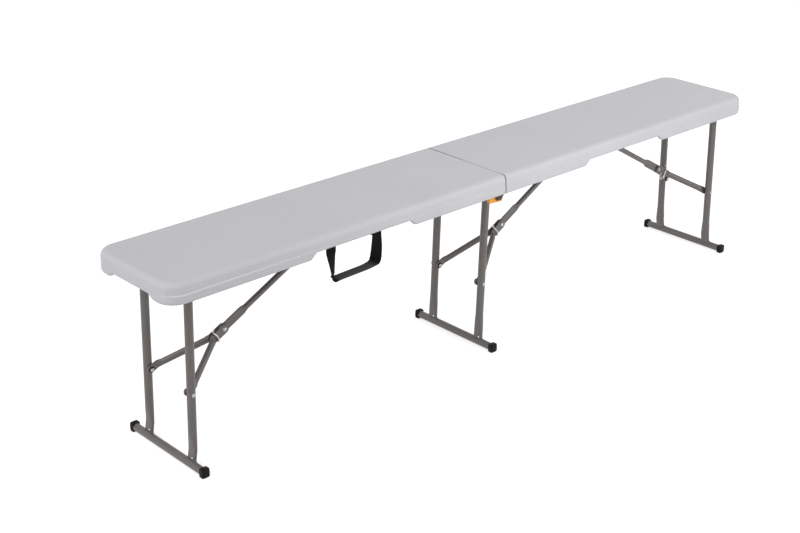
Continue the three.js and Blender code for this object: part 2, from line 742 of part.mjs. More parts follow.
// Builds one leg frame with its brace. The names say front or rear as the bench stands.
function legFrame(leg) {
  const along = leg.turned ? -1 : 1;
  const drop = leg.pivotZ - footZ;
  leg.foot = { x: tubeLine(leg, -drop) - leg.footOffset, z: -drop };
  leg.rivet = { x: tubeLine(leg, -leg.rivetDrop), z: -leg.rivetDrop };
  const anchor = { x: along * (leg.anchorX - leg.pivotX), z: anchorZ - leg.pivotZ };

  // The fold brings the foot up into the seat's side cuts, and there the brace lies flat.
  const swing = Math.hypot(leg.foot.x, leg.foot.z);
  const fold = Math.asin((foldedFootZ - leg.pivotZ) / swing) - Math.atan2(leg.foot.z, leg.foot.x);
  const folded = {
    x: leg.rivet.x * Math.cos(fold) - leg.rivet.z * Math.sin(fold),
    z: leg.rivet.x * Math.sin(fold) + leg.rivet.z * Math.cos(fold),
  };
  const openSpan = Math.hypot(anchor.x - leg.rivet.x, anchor.z - leg.rivet.z);
  const foldedSpan = Math.hypot(anchor.x - folded.x, anchor.z - folded.z);
  const slope = Math.atan2(anchor.z - leg.rivet.z, anchor.x - leg.rivet.x);
  const brace = {
    fork: (openSpan - foldedSpan) / 2,
    link: (openSpan + foldedSpan) / 2,
    offset: leg.linkOffset,
    kneeSide: along * -1,
    pullRing: leg.turned,
  };

  const frame = new THREE.Group();
  frame.position.set(leg.pivotX, 0, leg.pivotZ);
  frame.rotation.z = leg.turned ? Math.PI : 0;
  bench.add(frame);
  const sides = leg.turned ? [['front', 1], ['rear', -1]] : [['front', -1], ['rear', 1]];

  piece(`pivot_tube_${leg.name}`, shapeOf(openTube(legTubeRadius, leg.pivotHalf)), greySteel, frame);
  piece(`pivot_rod_${leg.name}`, pivotRod(leg.pivotHalf, leg.innerY, leg.outerY), zincSteel, frame);

  const footFrame = new THREE.Group();
  footFrame.position.set(leg.foot.x, 0, leg.foot.z);
  frame.add(footFrame);
  const footHalf = footLength / 2 - capEnd - fitGap;
  piece(`foot_tube_${leg.name}`, shapeOf(openTube(footTubeRadius, footHalf)), greySteel, footFrame);

  const forkFrame = new THREE.Group();
  forkFrame.position.set(leg.rivet.x, 0, leg.rivet.z);
  forkFrame.rotation.y = -slope;
  frame.add(forkFrame);

  for (const [side, sign] of sides) {
    piece(`leg_tube_${leg.name}_${side}`, legTube(leg, sign * legSpread), greySteel, frame);
    piece(`foot_cap_${leg.name}_${side}`, footCap(sign), blackPlastic, footFrame);
    piece(`brace_arm_${leg.name}_${side}`, forkArm(brace, sign), greySteel, forkFrame);
    piece(`fork_rivet_${leg.name}_${side}`, forkRivet(sign), zincSteel, forkFrame);
  }
  piece(`knee_rivet_${leg.name}`, kneeRivet(brace), zincSteel, forkFrame);
  piece(`lock_wire_${leg.name}`, lockWire(brace), zincSteel, forkFrame);

  const linkFrame = new THREE.Group();
  linkFrame.position.set(anchor.x, 0, anchor.z);
  linkFrame.rotation.set(0, -slope, Math.PI, 'YZX');
  frame.add(linkFrame);
  piece(`brace_link_${leg.name}`, braceLink(brace), greySteel, linkFrame);
}

const endLeg = {
  pivotZ: endPivotZ,
  lean: endLegLean,
  footOffset: endFootOffset,
  rivetDrop: braceRivetDrop,
  pivotHalf: railInnerY - fitGap,
  innerY: railInnerY,
  outerY: railOuterY,
};

legFrame({ ...endLeg, name: 'left', pivotX: leftPivotX, anchorX: leftAnchorX, linkOffset: 0 });
legFrame({
  ...endLeg,
  name: 'right',
  turned: true,
  pivotX: rightPivotX,
  anchorX: rightAnchorX,
  linkOffset: linkOffset,
});
legFrame({
  name: 'middle',
  pivotX: middlePivotX,
  pivotZ: middlePivotZ,
  anchorX: rightAnchorX,
  lean: middleLegLean,
  footOffset: 0,
  rivetDrop: middleRivetDrop,
  crankOut: middleCrankOut,
  crankDrop: middleCrankDrop,
  pivotHalf: innerLeafY - fitGap,
  innerY: innerLeafY,
  outerY: innerLeafY + leafThickness,
  linkOffset: linkOffset,
});

// Anchor bars: round bars across the rails, reduced at their ends and headed outside
function anchorBar(x) {
  const inner = railInnerY - fitGap;
  const outer = railOuterY + fitGap;
  const bar = turned(mirroredAlong([
    [anchorRadius, inner],
    [anchorEndRadius, inner],
    [anchorEndRadius, outer],
    [anchorHeadRadius, outer],
    [anchorHeadRadius, outer + anchorHeadHeight],
    [0, outer + anchorHeadHeight],
  ]));
  return shapeOf(bar.translate([x, 0, anchorZ]));
}

piece('anchor_bar_left', anchorBar(leftAnchorX), greySteel);
piece('anchor_bar_right', anchorBar(rightAnchorX), greySteel);

// Carrying strap: webbing that hangs from a strip between the front rail and the skirt

// The strip on the front rail, with a lug for each end of the strap
function strapBar() {
  const back = -railOuterY - fitGap;
  const low = strapPivotZ - strapBarLap;
  const lugTop = low + strapBarLug;
  const lug = (x) => [
    [-x - strapWidth / 2, lugTop],
    [-x - strapWidth / 2, low],
    [-x + strapWidth / 2, low],
    [-x + strapWidth / 2, lugTop],
  ];
  const outline = [
    [-strapFarX - strapBarMargin, lugTop],
    ...lug(strapFarX),
    ...lug(strapNearX),
    [-strapNearX + strapBarMargin, lugTop],
    [-strapNearX + strapBarMargin, low + strapBarHeight],
    [-strapFarX - strapBarMargin, low + strapBarHeight],
  ];
  return shapeOf(plate(outline, back - strapBarThickness, back));
}

// The webbing: a flat band along the route, turned about the vertical as the route says
function strap() {
  const route = strapRunShares.map((run, i) => new THREE.Vector3(
    -strapFarX + run * strapSpan, strapY, strapPivotZ - strapDropShares[i] * strapDrop));
  const rings = route.map((place, i) => {
    const before = route[Math.max(i - 1, 0)];
    const after = route[Math.min(i + 1, route.length - 1)];
    const along = after.clone().sub(before).normalize();
    const turn = THREE.MathUtils.degToRad(strapTurnDegrees[i]);
    const across = new THREE.Vector3(Math.cos(turn), Math.sin(turn), 0);
    across.addScaledVector(along, -across.dot(along)).normalize();
    const face = new THREE.Vector3().crossVectors(along, across);
    return [[-1, -1], [1, -1], [1, 1], [-1, 1]].map(([side, layer]) => place.clone()
      .addScaledVector(across, side * strapWidth / 2)
      .addScaledVector(face, layer * strapThickness / 2).toArray());
  });
  return shapeOf(skin(rings));
}

piece('strap_bar', strapBar(), zincSteel);
piece('strap_handle', strap(), blackWebbing);

export default bench;
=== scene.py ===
import bisect
import json
import math

import bmesh
import bpy
from mathutils import Matrix, Vector


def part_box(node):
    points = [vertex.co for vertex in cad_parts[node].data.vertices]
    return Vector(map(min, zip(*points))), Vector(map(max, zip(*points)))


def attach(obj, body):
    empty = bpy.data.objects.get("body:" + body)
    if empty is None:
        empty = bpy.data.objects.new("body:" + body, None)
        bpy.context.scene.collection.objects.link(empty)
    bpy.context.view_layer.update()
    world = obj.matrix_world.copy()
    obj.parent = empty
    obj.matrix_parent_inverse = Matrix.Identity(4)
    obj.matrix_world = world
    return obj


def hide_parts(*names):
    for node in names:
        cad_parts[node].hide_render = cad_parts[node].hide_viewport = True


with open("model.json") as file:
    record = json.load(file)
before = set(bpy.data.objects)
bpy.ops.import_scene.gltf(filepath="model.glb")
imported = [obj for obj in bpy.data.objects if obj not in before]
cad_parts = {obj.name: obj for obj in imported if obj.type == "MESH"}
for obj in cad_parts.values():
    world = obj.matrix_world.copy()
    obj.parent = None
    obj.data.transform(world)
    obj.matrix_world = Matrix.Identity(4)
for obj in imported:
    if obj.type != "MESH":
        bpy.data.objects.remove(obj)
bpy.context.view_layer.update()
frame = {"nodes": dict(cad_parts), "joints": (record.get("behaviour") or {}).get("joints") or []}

# Seat halves
# Two blow-moulded shells of light grey polyethylene. Each is a hollow deck with a round rim and a
# ledge above a skirt, and its underside is pinched up into hollows that tie the two walls together.

mm = 0.001
seam_gap = 0.6 * mm
end_x, side_y, top_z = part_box("seat_half_right")[1]
seam_x, skirt_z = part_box("seat_half_right")[0].x + seam_gap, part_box("seat_half_right")[0].z
deck_z = top_z - 17 * mm
ledge_z = top_z - 26.5 * mm
ledge_step, ledge_slope = 1.1 * mm, 0.5 * mm
rim_radius = 13 * mm
corner_radius = 42 * mm
skirt_wall = 9 * mm
seam_overlap = 60 * mm
soft_edge = 0.8 * mm
ledge_fade = 18 * mm
# Where the painted highlight along the ledge is full and where it has faded out, measured from the left
# end.
ledge_highlight_full, ledge_highlight_end = 150 * mm, 420 * mm
sharp_angle, soft_edge_angle = math.radians(38), math.radians(48)
skirt_round = 5.5 * mm
corner_steps, rim_steps, skirt_steps, edge_steps, cut_steps = 16, 9, 5, 3, 5
# The raised stretches of the skirt's edge: from, to, height.
side_cut = (275 * mm, 570 * mm, 13.3 * mm)
end_cut = (-80 * mm, 80 * mm, 9 * mm)
cut_slope = 20 * mm
hollow_pitch, hollow_row_pitch = 62 * mm, 44 * mm
hollow_rows = [hollow_row_pitch * i for i in range(-2, 3)]
hollow_end = 47 * mm
hollow_margin = 10 * mm
hollow_depth = 4.5 * mm


def add_piece(name, bm, material, slot, body, *nodes, edge=0):
    bmesh.ops.recalc_face_normals(bm, faces=bm.faces)
    mesh = bpy.data.meshes.new(name)
    bm.to_mesh(mesh)
    bm.free()
    for polygon in mesh.polygons:
        polygon.use_smooth = True
    mesh.set_sharp_from_angle(angle=sharp_angle)
    mesh.materials.append(material)
    piece = bpy.data.objects.new(name, mesh)
    bpy.context.scene.collection.objects.link(piece)
    if edge:
        bevel = piece.modifiers.new("soft_edge", "BEVEL")
        bevel.width = edge
        bevel.segments = edge_steps
        bevel.limit_method = "ANGLE"
        bevel.angle_limit = soft_edge_angle
        bevel.harden_normals = True
    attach(piece, body)
    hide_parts(*nodes)
    return piece


def blocked_out(bm, low, high):
    made = bmesh.ops.create_cube(bm, size=1)["verts"]
    bmesh.ops.scale(bm, vec=high - low, verts=made)
    bmesh.ops.translate(bm, vec=(low + high) / 2, verts=made)
    return made


def whole(bm, faces):
    edges = {edge for face in faces for edge in face.edges}
    verts = {vert for face in faces for vert in face.verts}
    return [*verts, *edges, *faces]


def eased(value):
    value = min(max(value, 0), 1)
    return value * value * (3 - 2 * value)


def height_of(face):
    return face.calc_center_median().z


def rounded_off(bm, edges, radius, segments):
    bmesh.ops.bevel(
        bm, geom=edges, offset=radius, offset_type="OFFSET", affect="EDGES",
        segments=segments, profile=0.5, material=-1)


def split_faces(bm, faces, place, normal):
    found = bmesh.ops.bisect_plane(bm, geom=whole(bm, faces), plane_co=place, plane_no=normal)
    return [item for item in found["geom"] if isinstance(item, bmesh.types.BMFace)]


def raise_cut(bm, faces, axis, cut):
    start, stop, rise = cut
    steps = [start + cut_slope * i / cut_steps for i in range(cut_steps + 1)]
    steps += [stop - cut_slope * i / cut_steps for i in range(cut_steps + 1)]
    plane = Vector((1, 0, 0)) if axis == 0 else Vector((0, 1, 0))
    for step in steps:
        faces = split_faces(bm, faces, plane * step, plane)
    for vert in {vert for face in faces for vert in face.verts}:
        inside = min(vert.co[axis] - start, stop - vert.co[axis])
        if vert.co.z < skirt_z + skirt_round + mm and inside > 0:
            vert.co.z += rise * eased(inside / cut_slope)


def skirt_faces(bm):
    return [
        face for face in bm.faces
        if max(vert.co.z for vert in face.verts) < deck_z + mm and height_of(face) < deck_z - mm
    ]


def seat_half(name, node, body, turn):
    bm = bmesh.new()
    low = Vector((-seam_overlap, -side_y, skirt_z))
    blocked_out(bm, low, Vector((end_x, side_y, ledge_z)))
    upright = [
        edge for edge in bm.edges
        if edge.verts[0].co.x > 0 and edge.verts[1].co.x > 0 and edge.verts[0].co.y == edge.verts[1].co.y
    ]
    rounded_off(bm, upright, corner_radius, corner_steps)
    top, bottom = max(bm.faces, key=height_of), min(bm.faces, key=height_of)
    bmesh.ops.inset_region(bm, faces=[top], thickness=ledge_step, depth=ledge_slope, use_even_offset=True)
    bmesh.ops.inset_region(bm, faces=[top], thickness=0, depth=top_z - ledge_z - ledge_slope)
    rounded_off(bm, list(top.edges), rim_radius, rim_steps)
    rounded_off(bm, list(bottom.edges), skirt_round, skirt_steps)
    bottom = min(bm.faces, key=height_of)
    for vert in bm.verts:
        if vert.co.z > ledge_z + ledge_slope / 2:
            into_end = (vert.co.x - end_x + ledge_fade) / (ledge_fade - ledge_step)
            vert.co.x += ledge_step * eased(into_end)
    bmesh.ops.inset_region(bm, faces=[bottom], thickness=skirt_wall - skirt_round, use_even_offset=True)
    bmesh.ops.inset_region(bm, faces=[bottom], thickness=0, depth=skirt_z - deck_z)

    opened = bmesh.ops.bisect_plane(
        bm, geom=whole(bm, list(bm.faces)), plane_co=(seam_x, 0, 0), plane_no=(-1, 0, 0), clear_outer=True)
    rims = [item for item in opened["geom_cut"] if isinstance(item, bmesh.types.BMEdge)]
    bmesh.ops.edgeloop_fill(bm, edges=rims)

    bm.normal_update()
    long_sides = [
        face for face in skirt_faces(bm)
        if abs(face.normal.x) < 0.1 and abs(face.calc_center_median().y) > side_y - skirt_wall - mm
    ]
    raise_cut(bm, long_sides, 0, side_cut)
    short_sides = [
        face for face in skirt_faces(bm)
        if face.calc_center_median().x > end_x - skirt_wall - mm
    ]
    raise_cut(bm, short_sides, 1, end_cut)

    under = [face for face in bm.faces if face.normal.z < -0.9 and height_of(face) > deck_z - mm]
    columns = int((end_x - hollow_end - seam_x) / hollow_pitch)
    cuts = [(Vector((0, 1, 0)), row) for row in hollow_rows]
    cuts += [(Vector((1, 0, 0)), seam_x + hollow_pitch * (i + 0.5)) for i in range(columns + 1)]
    for plane, step in cuts:
        under = split_faces(bm, under, plane * step, plane)
    cell_area = hollow_row_pitch * hollow_pitch
    cells = [
        face for face in under
        if abs(face.calc_center_median().y) < hollow_rows[-1]
        and abs(face.calc_area() - cell_area) < mm * mm
    ]
    bmesh.ops.inset_individual(bm, faces=cells, thickness=hollow_margin, use_even_offset=True)
    bmesh.ops.inset_individual(
        bm, faces=cells, thickness=hollow_depth, depth=-hollow_depth, use_even_offset=True)
    bmesh.ops.rotate(bm, cent=(0, 0, 0), matrix=Matrix.Rotation(turn, 3, "Z"), verts=bm.verts)
    return add_piece(name, bm, seat_plastic, "seat_plastic", body, node, edge=soft_edge)


def paint(red, green, blue):
    linear = [(part / 255 + 0.055) / 1.055 for part in (red, green, blue)]
    return (*(part ** 2.4 for part in linear), 1)


def add_node(tree, kind, inputs=None, **settings):
    made = tree.nodes.new(kind)
    for name, value in settings.items():
        setattr(made, name, value)
    for name, value in (inputs or {}).items():
        if isinstance(value, bpy.types.NodeSocket):
            tree.links.new(value, made.inputs[name])
        else:
            made.inputs[name].default_value = value
    return made


def new_effect(name, inputs, outputs):
    tree = bpy.data.node_groups.new(name, "ShaderNodeTree")
    for label, value in inputs.items():
        socket = tree.interface.new_socket(label, in_out="INPUT", socket_type="NodeSocketFloat")
        socket.default_value = value
    for label in outputs:
        tree.interface.new_socket(label, in_out="OUTPUT", socket_type="NodeSocketFloat")
    return tree, tree.nodes.new("NodeGroupInput").outputs, tree.nodes.new("NodeGroupOutput").inputs


def place_effect(tree, effect, **inputs):
    made = tree.nodes.new("ShaderNodeGroup")
    made.node_tree = effect
    for name, value in inputs.items():
        made.inputs[name].default_value = value
    return made.outputs


def new_finish(name, metallic=0, coat=0, coat_roughness=0.1):
    material = bpy.data.materials.new(name)
    material.use_nodes = True
    tree = material.node_tree
    shader = tree.nodes["Principled BSDF"]
    shader.inputs["Metallic"].default_value = metallic
    shader.inputs["Coat Weight"].default_value = coat
    shader.inputs["Coat Roughness"].default_value = coat_roughness
    return material, tree, shader.inputs


def mixed(tree, share, first, second):
    made = add_node(tree, "ShaderNodeMix", data_type="RGBA")
    tree.links.new(share, made.inputs[0])
    for socket, value in ((made.inputs[6], first), (made.inputs[7], second)):
        if isinstance(value, bpy.types.NodeSocket):
            tree.links.new(value, socket)
        else:
            socket.default_value = value
    return made.outputs[2]


def ranged(tree, value, low, high):
    return add_node(tree, "ShaderNodeMapRange", {"Value": value, "To Min": low, "To Max": high}).outputs[0]


def ramped(tree, value, start, stop, low=0):
    sizes = {"Value": value, "From Min": start, "From Max": stop, "To Min": low}
    return add_node(tree, "ShaderNodeMapRange", sizes).outputs[0]


def joined(tree, operation, first, second=0):
    return add_node(tree, "ShaderNodeMath", {0: first, 1: second}, operation=operation).outputs[0]


def object_place(tree):
    return add_node(tree, "ShaderNodeTexCoord").outputs["Object"]


def bumped(tree, height, strength, distance):
    sizes = {"Height": height, "Strength": strength, "Distance": distance}
    return add_node(tree, "ShaderNodeBump", sizes).outputs[0]


# The grain that a mould leaves on plastic: rounded pebbles of uneven size.
mould_grain, given, result = new_effect("mould_grain", {"Pebbles": 700}, ["Height"])
tree = mould_grain
where = object_place(tree)
pebbles = add_node(
    tree, "ShaderNodeTexVoronoi", {"Vector": where, "Scale": given["Pebbles"]}, feature="SMOOTH_F1")
uneven = add_node(tree, "ShaderNodeTexNoise", {"Vector": where, "Scale": given["Pebbles"], "Detail": 3})
height = joined(tree, "MULTIPLY", pebbles.outputs["Distance"], uneven.outputs["Fac"])
tree.links.new(height, result["Height"])

# Slow drift of tone and gloss over a surface, from handling and from the moulding or coating.
drift, given, result = new_effect("drift", {"Patches": 8}, ["Tone"])
tree = drift
where = object_place(tree)
cloud = add_node(
    tree, "ShaderNodeTexNoise", {"Vector": where, "Scale": given["Patches"], "Detail": 6, "Roughness": 0.6})
tree.links.new(ramped(tree, cloud.outputs["Fac"], 0.3, 0.7), result["Tone"])

# Fine scuffs from stacking and carrying, in long thin strokes.
scuffs, given, result = new_effect("scuffs", {"Strokes": 40}, ["Mask"])
tree = scuffs
where = object_place(tree)
stretched = add_node(
    tree, "ShaderNodeMapping", {"Vector": where, "Rotation": (0.1, 0.2, 0.5), "Scale": (1, 14, 9)})
strokes = add_node(
    tree, "ShaderNodeTexNoise",
    {"Vector": stretched.outputs[0], "Scale": given["Strokes"], "Detail": 5, "Distortion": 0.6})
tree.links.new(ramped(tree, strokes.outputs["Fac"], 0.62, 0.74), result["Mask"])

seat_plastic, tree, surface = new_finish("seat_plastic")
tone = place_effect(tree, drift, Patches=5)["Tone"]
marks = place_effect(tree, scuffs, Strokes=16)["Mask"]
grain = place_effect(tree, mould_grain, Pebbles=520)["Height"]
body_colour = mixed(tree, tone, paint(197, 196, 200), paint(204, 203, 207))
fleck = mixed(tree, ranged(tree, grain, 0, 0.5), body_colour, paint(188, 188, 193))
fleck = mixed(tree, ranged(tree, marks, 0, 0.22), fleck, paint(216, 216, 219))
where = object_place(tree)
part = add_node(tree, "ShaderNodeSeparateXYZ", {"Vector": where}).outputs
along = joined(tree, "ABSOLUTE", part["X"])
# Painted highlight along the ledge, where light from above catches it: paler from the left end to where it
# fades.
from_ledge = joined(tree, "ABSOLUTE", joined(tree, "SUBTRACT", part["Z"], ledge_z + ledge_slope))
painted_ledge_highlight = ramped(tree, from_ledge, 1.5 * mm, 0.7 * mm)
painted_ledge_highlight = joined(tree, "MULTIPLY", painted_ledge_highlight, ramped(tree, along, end_x - mm, end_x - ledge_fade))
faded = ramped(tree, part["X"], ledge_highlight_end - end_x, ledge_highlight_full - end_x)
painted_ledge_highlight = joined(tree, "MULTIPLY", painted_ledge_highlight, faded)
fleck = mixed(tree, ranged(tree, painted_ledge_highlight, 0, 0.6), fleck, paint(232, 232, 235))
# Shade in the seam: dark down the skirt and over the rear half, faint over the front half.
rear_part = ramped(tree, part["Y"], -30 * mm, 40 * mm, 0.15)
skirt_part = ramped(tree, part["Y"], rim_radius + 9 * mm - side_y, 10 * mm - side_y)
seam = ramped(tree, along, seam_x + 0.5 * mm, seam_x + 0.1 * mm)
seam = joined(tree, "MULTIPLY", seam, joined(tree, "MAXIMUM", rear_part, skirt_part))
tree.links.new(mixed(tree, ranged(tree, seam, 0, 0.85), fleck, paint(92, 90, 90)), surface["Base Color"])
tree.links.new(ranged(tree, tone, 0.48, 0.58), surface["Roughness"])
tree.links.new(bumped(tree, grain, 0.35, 0.25 * mm), surface["Normal"])
surface["Specular IOR Level"].default_value = 0.4

seat_half("seat_shell_right", "seat_half_right", "seat_right", 0)
seat_half("seat_shell_left", "seat_half_left", "seat_left", math.pi)

# Rails
# Rectangular steel tubes with rounded corners under each long side, in a dark grey hammered
# powder coat. Screws go up through them into the deck.

rail_corner, rail_steps = 2.4 * mm, 5
rail_wall = 1.5 * mm
rail_depth = 25 * mm
screw_places = (120 * mm, 330 * mm, 560 * mm, 760 * mm)
screw_profile = [
    (0, 0), (4.6, 0), (4.6, 0.5), (3.7, 0.8), (3.3, 1.5), (2.3, 2.1), (1.2, 2.3), (0.9, 1.5), (0, 1.5),
]

# Coat worn off along edges and corners, where the bare metal shows through.
edge_wear, given, result = new_effect("edge_wear", {"Reach": 1}, ["Mask"])
tree = edge_wear
true_normal = add_node(tree, "ShaderNodeNewGeometry").outputs["Normal"]
rounded = add_node(tree, "ShaderNodeBevel", {"Radius": 0.6 * mm}, samples=4)
turned_away = add_node(
    tree, "ShaderNodeVectorMath", {0: true_normal, 1: rounded.outputs[0]}, operation="DOT_PRODUCT")
where = object_place(tree)
patchy = add_node(tree, "ShaderNodeTexNoise", {"Vector": where, "Scale": 220, "Detail": 4})
bare = ramped(tree, turned_away.outputs["Value"], 0.985, 0.8)
broken = ramped(tree, patchy.outputs["Fac"], 0.45, 0.6)
reach = joined(tree, "MULTIPLY", joined(tree, "MULTIPLY", bare, broken), given["Reach"])
tree.links.new(reach, result["Mask"])

grey_steel, tree, surface = new_finish("grey_steel", metallic=0.12, coat=0.16, coat_roughness=0.25)
where = object_place(tree)
dimples = add_node(tree, "ShaderNodeTexVoronoi", {"Vector": where, "Scale": 330}, feature="SMOOTH_F1")
peel = add_node(tree, "ShaderNodeTexNoise", {"Vector": where, "Scale": 1400, "Detail": 2})
tone = place_effect(tree, drift, Patches=14)["Tone"]
wear = place_effect(tree, edge_wear, Reach=0.5)["Mask"]
vein = ranged(tree, dimples.outputs["Distance"], 0, 0.8)
coat_colour = mixed(tree, tone, paint(98, 93, 90), paint(109, 103, 100))
coat_colour = mixed(tree, vein, coat_colour, paint(85, 80, 78))
tree.links.new(mixed(tree, wear, coat_colour, paint(176, 174, 170)), surface["Base Color"])
tree.links.new(ranged(tree, tone, 0.36, 0.48), surface["Roughness"])
hammered = joined(tree, "ADD", dimples.outputs["Distance"], peel.outputs["Fac"])
tree.links.new(bumped(tree, hammered, 0.3, 0.3 * mm), surface["Normal"])

zinc_steel, tree, surface = new_finish("zinc_steel", metallic=1)
where = object_place(tree)
crystals = add_node(tree, "ShaderNodeTexVoronoi", {"Vector": where, "Scale": 900})
tone = place_effect(tree, drift, Patches=60)["Tone"]
marks = place_effect(tree, scuffs, Strokes=240)["Mask"]
plate_colour = mixed(tree, tone, paint(190, 189, 186), paint(214, 213, 210))
spangle = ranged(tree, crystals.outputs["Distance"], 0, 0.3)
tree.links.new(mixed(tree, spangle, plate_colour, paint(168, 169, 170)), surface["Base Color"])
tree.links.new(ranged(tree, marks, 0.28, 0.42), surface["Roughness"])
tree.links.new(bumped(tree, tone, 0.15, 0.1 * mm), surface["Normal"])


def turned(bm, profile, centre, direction=1, steps=40):
    before = set(bm.verts)
    chain = [bm.verts.new((radius * mm, along * mm * direction, 0)) for radius, along in profile]
    edges = [bm.edges.new(pair) for pair in zip(chain, chain[1:])]
    bmesh.ops.spin(
        bm, geom=chain + edges, cent=(0, 0, 0), axis=(0, 1, 0), dvec=(0, 0, 0),
        angle=2 * math.pi, steps=steps, use_merge=True)
    made = [vert for vert in bm.verts if vert not in before]
    bmesh.ops.remove_doubles(bm, verts=made, dist=0.005 * mm)
    made = [vert for vert in bm.verts if vert not in before]
    bmesh.ops.translate(bm, vec=centre, verts=made)
    return made


for end, away in (("left", -1), ("right", 1)):
    for side in ("front", "rear"):
        node = f"rail_{end}_{side}"
        low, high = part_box(node)
        bm = bmesh.new()
        blocked_out(bm, low, high)
        long_edges = [edge for edge in bm.edges if abs(edge.verts[0].co.x - edge.verts[1].co.x) > mm]
        rounded_off(bm, long_edges, rail_corner, rail_steps)
        ends = [face for face in bm.faces if abs(face.normal.x) > 0.9]
        bmesh.ops.inset_individual(bm, faces=ends, thickness=rail_wall, use_even_offset=True)
        bmesh.ops.inset_individual(bm, faces=ends, thickness=0, depth=-rail_depth)
        add_piece(f"tube_{node}", bm, grey_steel, "grey_steel", f"seat_{end}", node, edge=0.3 * mm)

        bm = bmesh.new()
        for place in screw_places:
            head = turned(bm, screw_profile, (0, 0, 0), steps=24)
            bmesh.ops.rotate(bm, cent=(0, 0, 0), matrix=Matrix.Rotation(-math.pi / 2, 3, "X"), verts=head)
            bmesh.ops.translate(bm, vec=(away * place, (low.y + high.y) / 2, low.z), verts=head)
        add_piece(f"screws_{node}", bm, zinc_steel, "zinc_steel", f"seat_{end}")

# Seam hinge
# Blacked steel leaves bolted to the rails, two deep at the front and at the rear. A blacked pin
# with broad peened heads holds each pair together just below the skirt.

leaf_edge = 0.5 * mm
pin_shank = 4
pin_dome = [(0, 1.9), (2.6, 1.8), (4.6, 1.55), (6.2, 1.1), (7.1, 0.5), (7.4, 0)]

black_steel, tree, surface = new_finish("black_steel", metallic=0.2)
tone = place_effect(tree, drift, Patches=30)["Tone"]
wear = place_effect(tree, edge_wear, Reach=0.7)["Mask"]
leaf_colour = mixed(tree, tone, paint(30, 29, 29), paint(42, 41, 40))
tree.links.new(mixed(tree, wear, leaf_colour, paint(120, 118, 115)), surface["Base Color"])
tree.links.new(ranged(tree, tone, 0.4, 0.55), surface["Roughness"])
tree.links.new(bumped(tree, tone, 0.2, 0.1 * mm), surface["Normal"])


def softened(name, node, material, slot, body, edge, lobes=()):
    bm = bmesh.new()
    bm.from_mesh(frame["nodes"][node].data)
    bmesh.ops.remove_doubles(bm, verts=bm.verts, dist=0.01 * mm)
    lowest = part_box(node)[0].z
    for vert in bm.verts:
        for start, stop, rise, drop, aside in lobes:
            if start * mm < vert.co.x < stop * mm and vert.co.z < lowest + rise * mm:
                vert.co += Vector((aside * mm, 0, -drop * mm))
                break
    bmesh.ops.dissolve_limit(bm, angle_limit=math.radians(2), verts=bm.verts, edges=bm.edges)
    return add_piece(name, bm, material, slot, body, node, edge=edge)


def headed_pin(name, node, body, shank, dome, material=zinc_steel, slot="zinc_steel"):
    low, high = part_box(node)
    middle = (low + high) / 2
    rise = dome[0][1]
    half = (high.y - low.y) / 2 / mm - rise
    near = [(radius, -half - along) for radius, along in dome]
    far = [(radius, half + along) for radius, along in reversed(dome)]
    bm = bmesh.new()
    turned(bm, [*near, (shank, -half), (shank, half), *far], middle)
    return add_piece(name, bm, material, slot, body, node)


for side in ("front", "rear"):
    for end in ("left", "right"):
        node = f"hinge_leaf_{end}_{side}"
        softened(f"plate_{node}", node, black_steel, "grey_steel", f"seat_{end}", leaf_edge)
    headed_pin(
        f"turned_hinge_pin_{side}", f"hinge_pin_{side}", "seat_left", pin_shank, pin_dome, black_steel)

# Fold catch
# An orange moulded lever on a small steel pin between the front leaves. A finger pulls it down
# below the skirt to free the fold, and its two ends hang lower for that.

catch_edge = 0.9 * mm
# The lever's lower corners: from and to along x, height above its lowest point, drop, shift.
catch_lobes = [(-40, -35, 3, 4, 3), (-32, -15, 6, 4, 0), (5, 10, 3, 7, 0)]
catch_shank = 2
catch_dome = [(0, 1), (1.6, 0.95), (2.8, 0.7), (3.4, 0.35), (3.6, 0)]

orange_plastic, tree, surface = new_finish("orange_plastic", coat=0.1, coat_roughness=0.3)
tone = place_effect(tree, drift, Patches=40)["Tone"]
grain = place_effect(tree, mould_grain, Pebbles=1600)["Height"]
lever_colour = mixed(tree, tone, paint(236, 158, 44), paint(244, 172, 60))
lever_colour = mixed(tree, ranged(tree, grain, 0, 0.4), lever_colour, paint(222, 140, 36))
tree.links.new(lever_colour, surface["Base Color"])
tree.links.new(ranged(tree, tone, 0.4, 0.5), surface["Roughness"])
tree.links.new(bumped(tree, grain, 0.3, 0.15 * mm), surface["Normal"])

softened("moulded_catch", "fold_catch", orange_plastic, "orange_plastic", "catch", catch_edge, catch_lobes)
headed_pin("turned_catch_pin", "catch_pin", "seat_left", catch_shank, catch_dome)

# Leg frames
# Each is two round steel tubes, pressed flat at the bottom and welded to a foot tube and to the
# pivot tube that they turn on. Hammered grey coat; the rod through the pivot tube is zinc plated,
# and so is the small rivet head near the bottom of each leg.

tube_radius = 9.25
pivot_bore, pivot_bore_depth, pivot_edge = 8, 14, 0.4
foot_radius, foot_bore, foot_run_in = 8.8, 7.55, 3
foot_rings = (-90, 0, 90)
flat_thickness, flat_width, flat_sink = 5, 12, 3
flat_run, flat_taper, flat_steps = 30, 45, 9
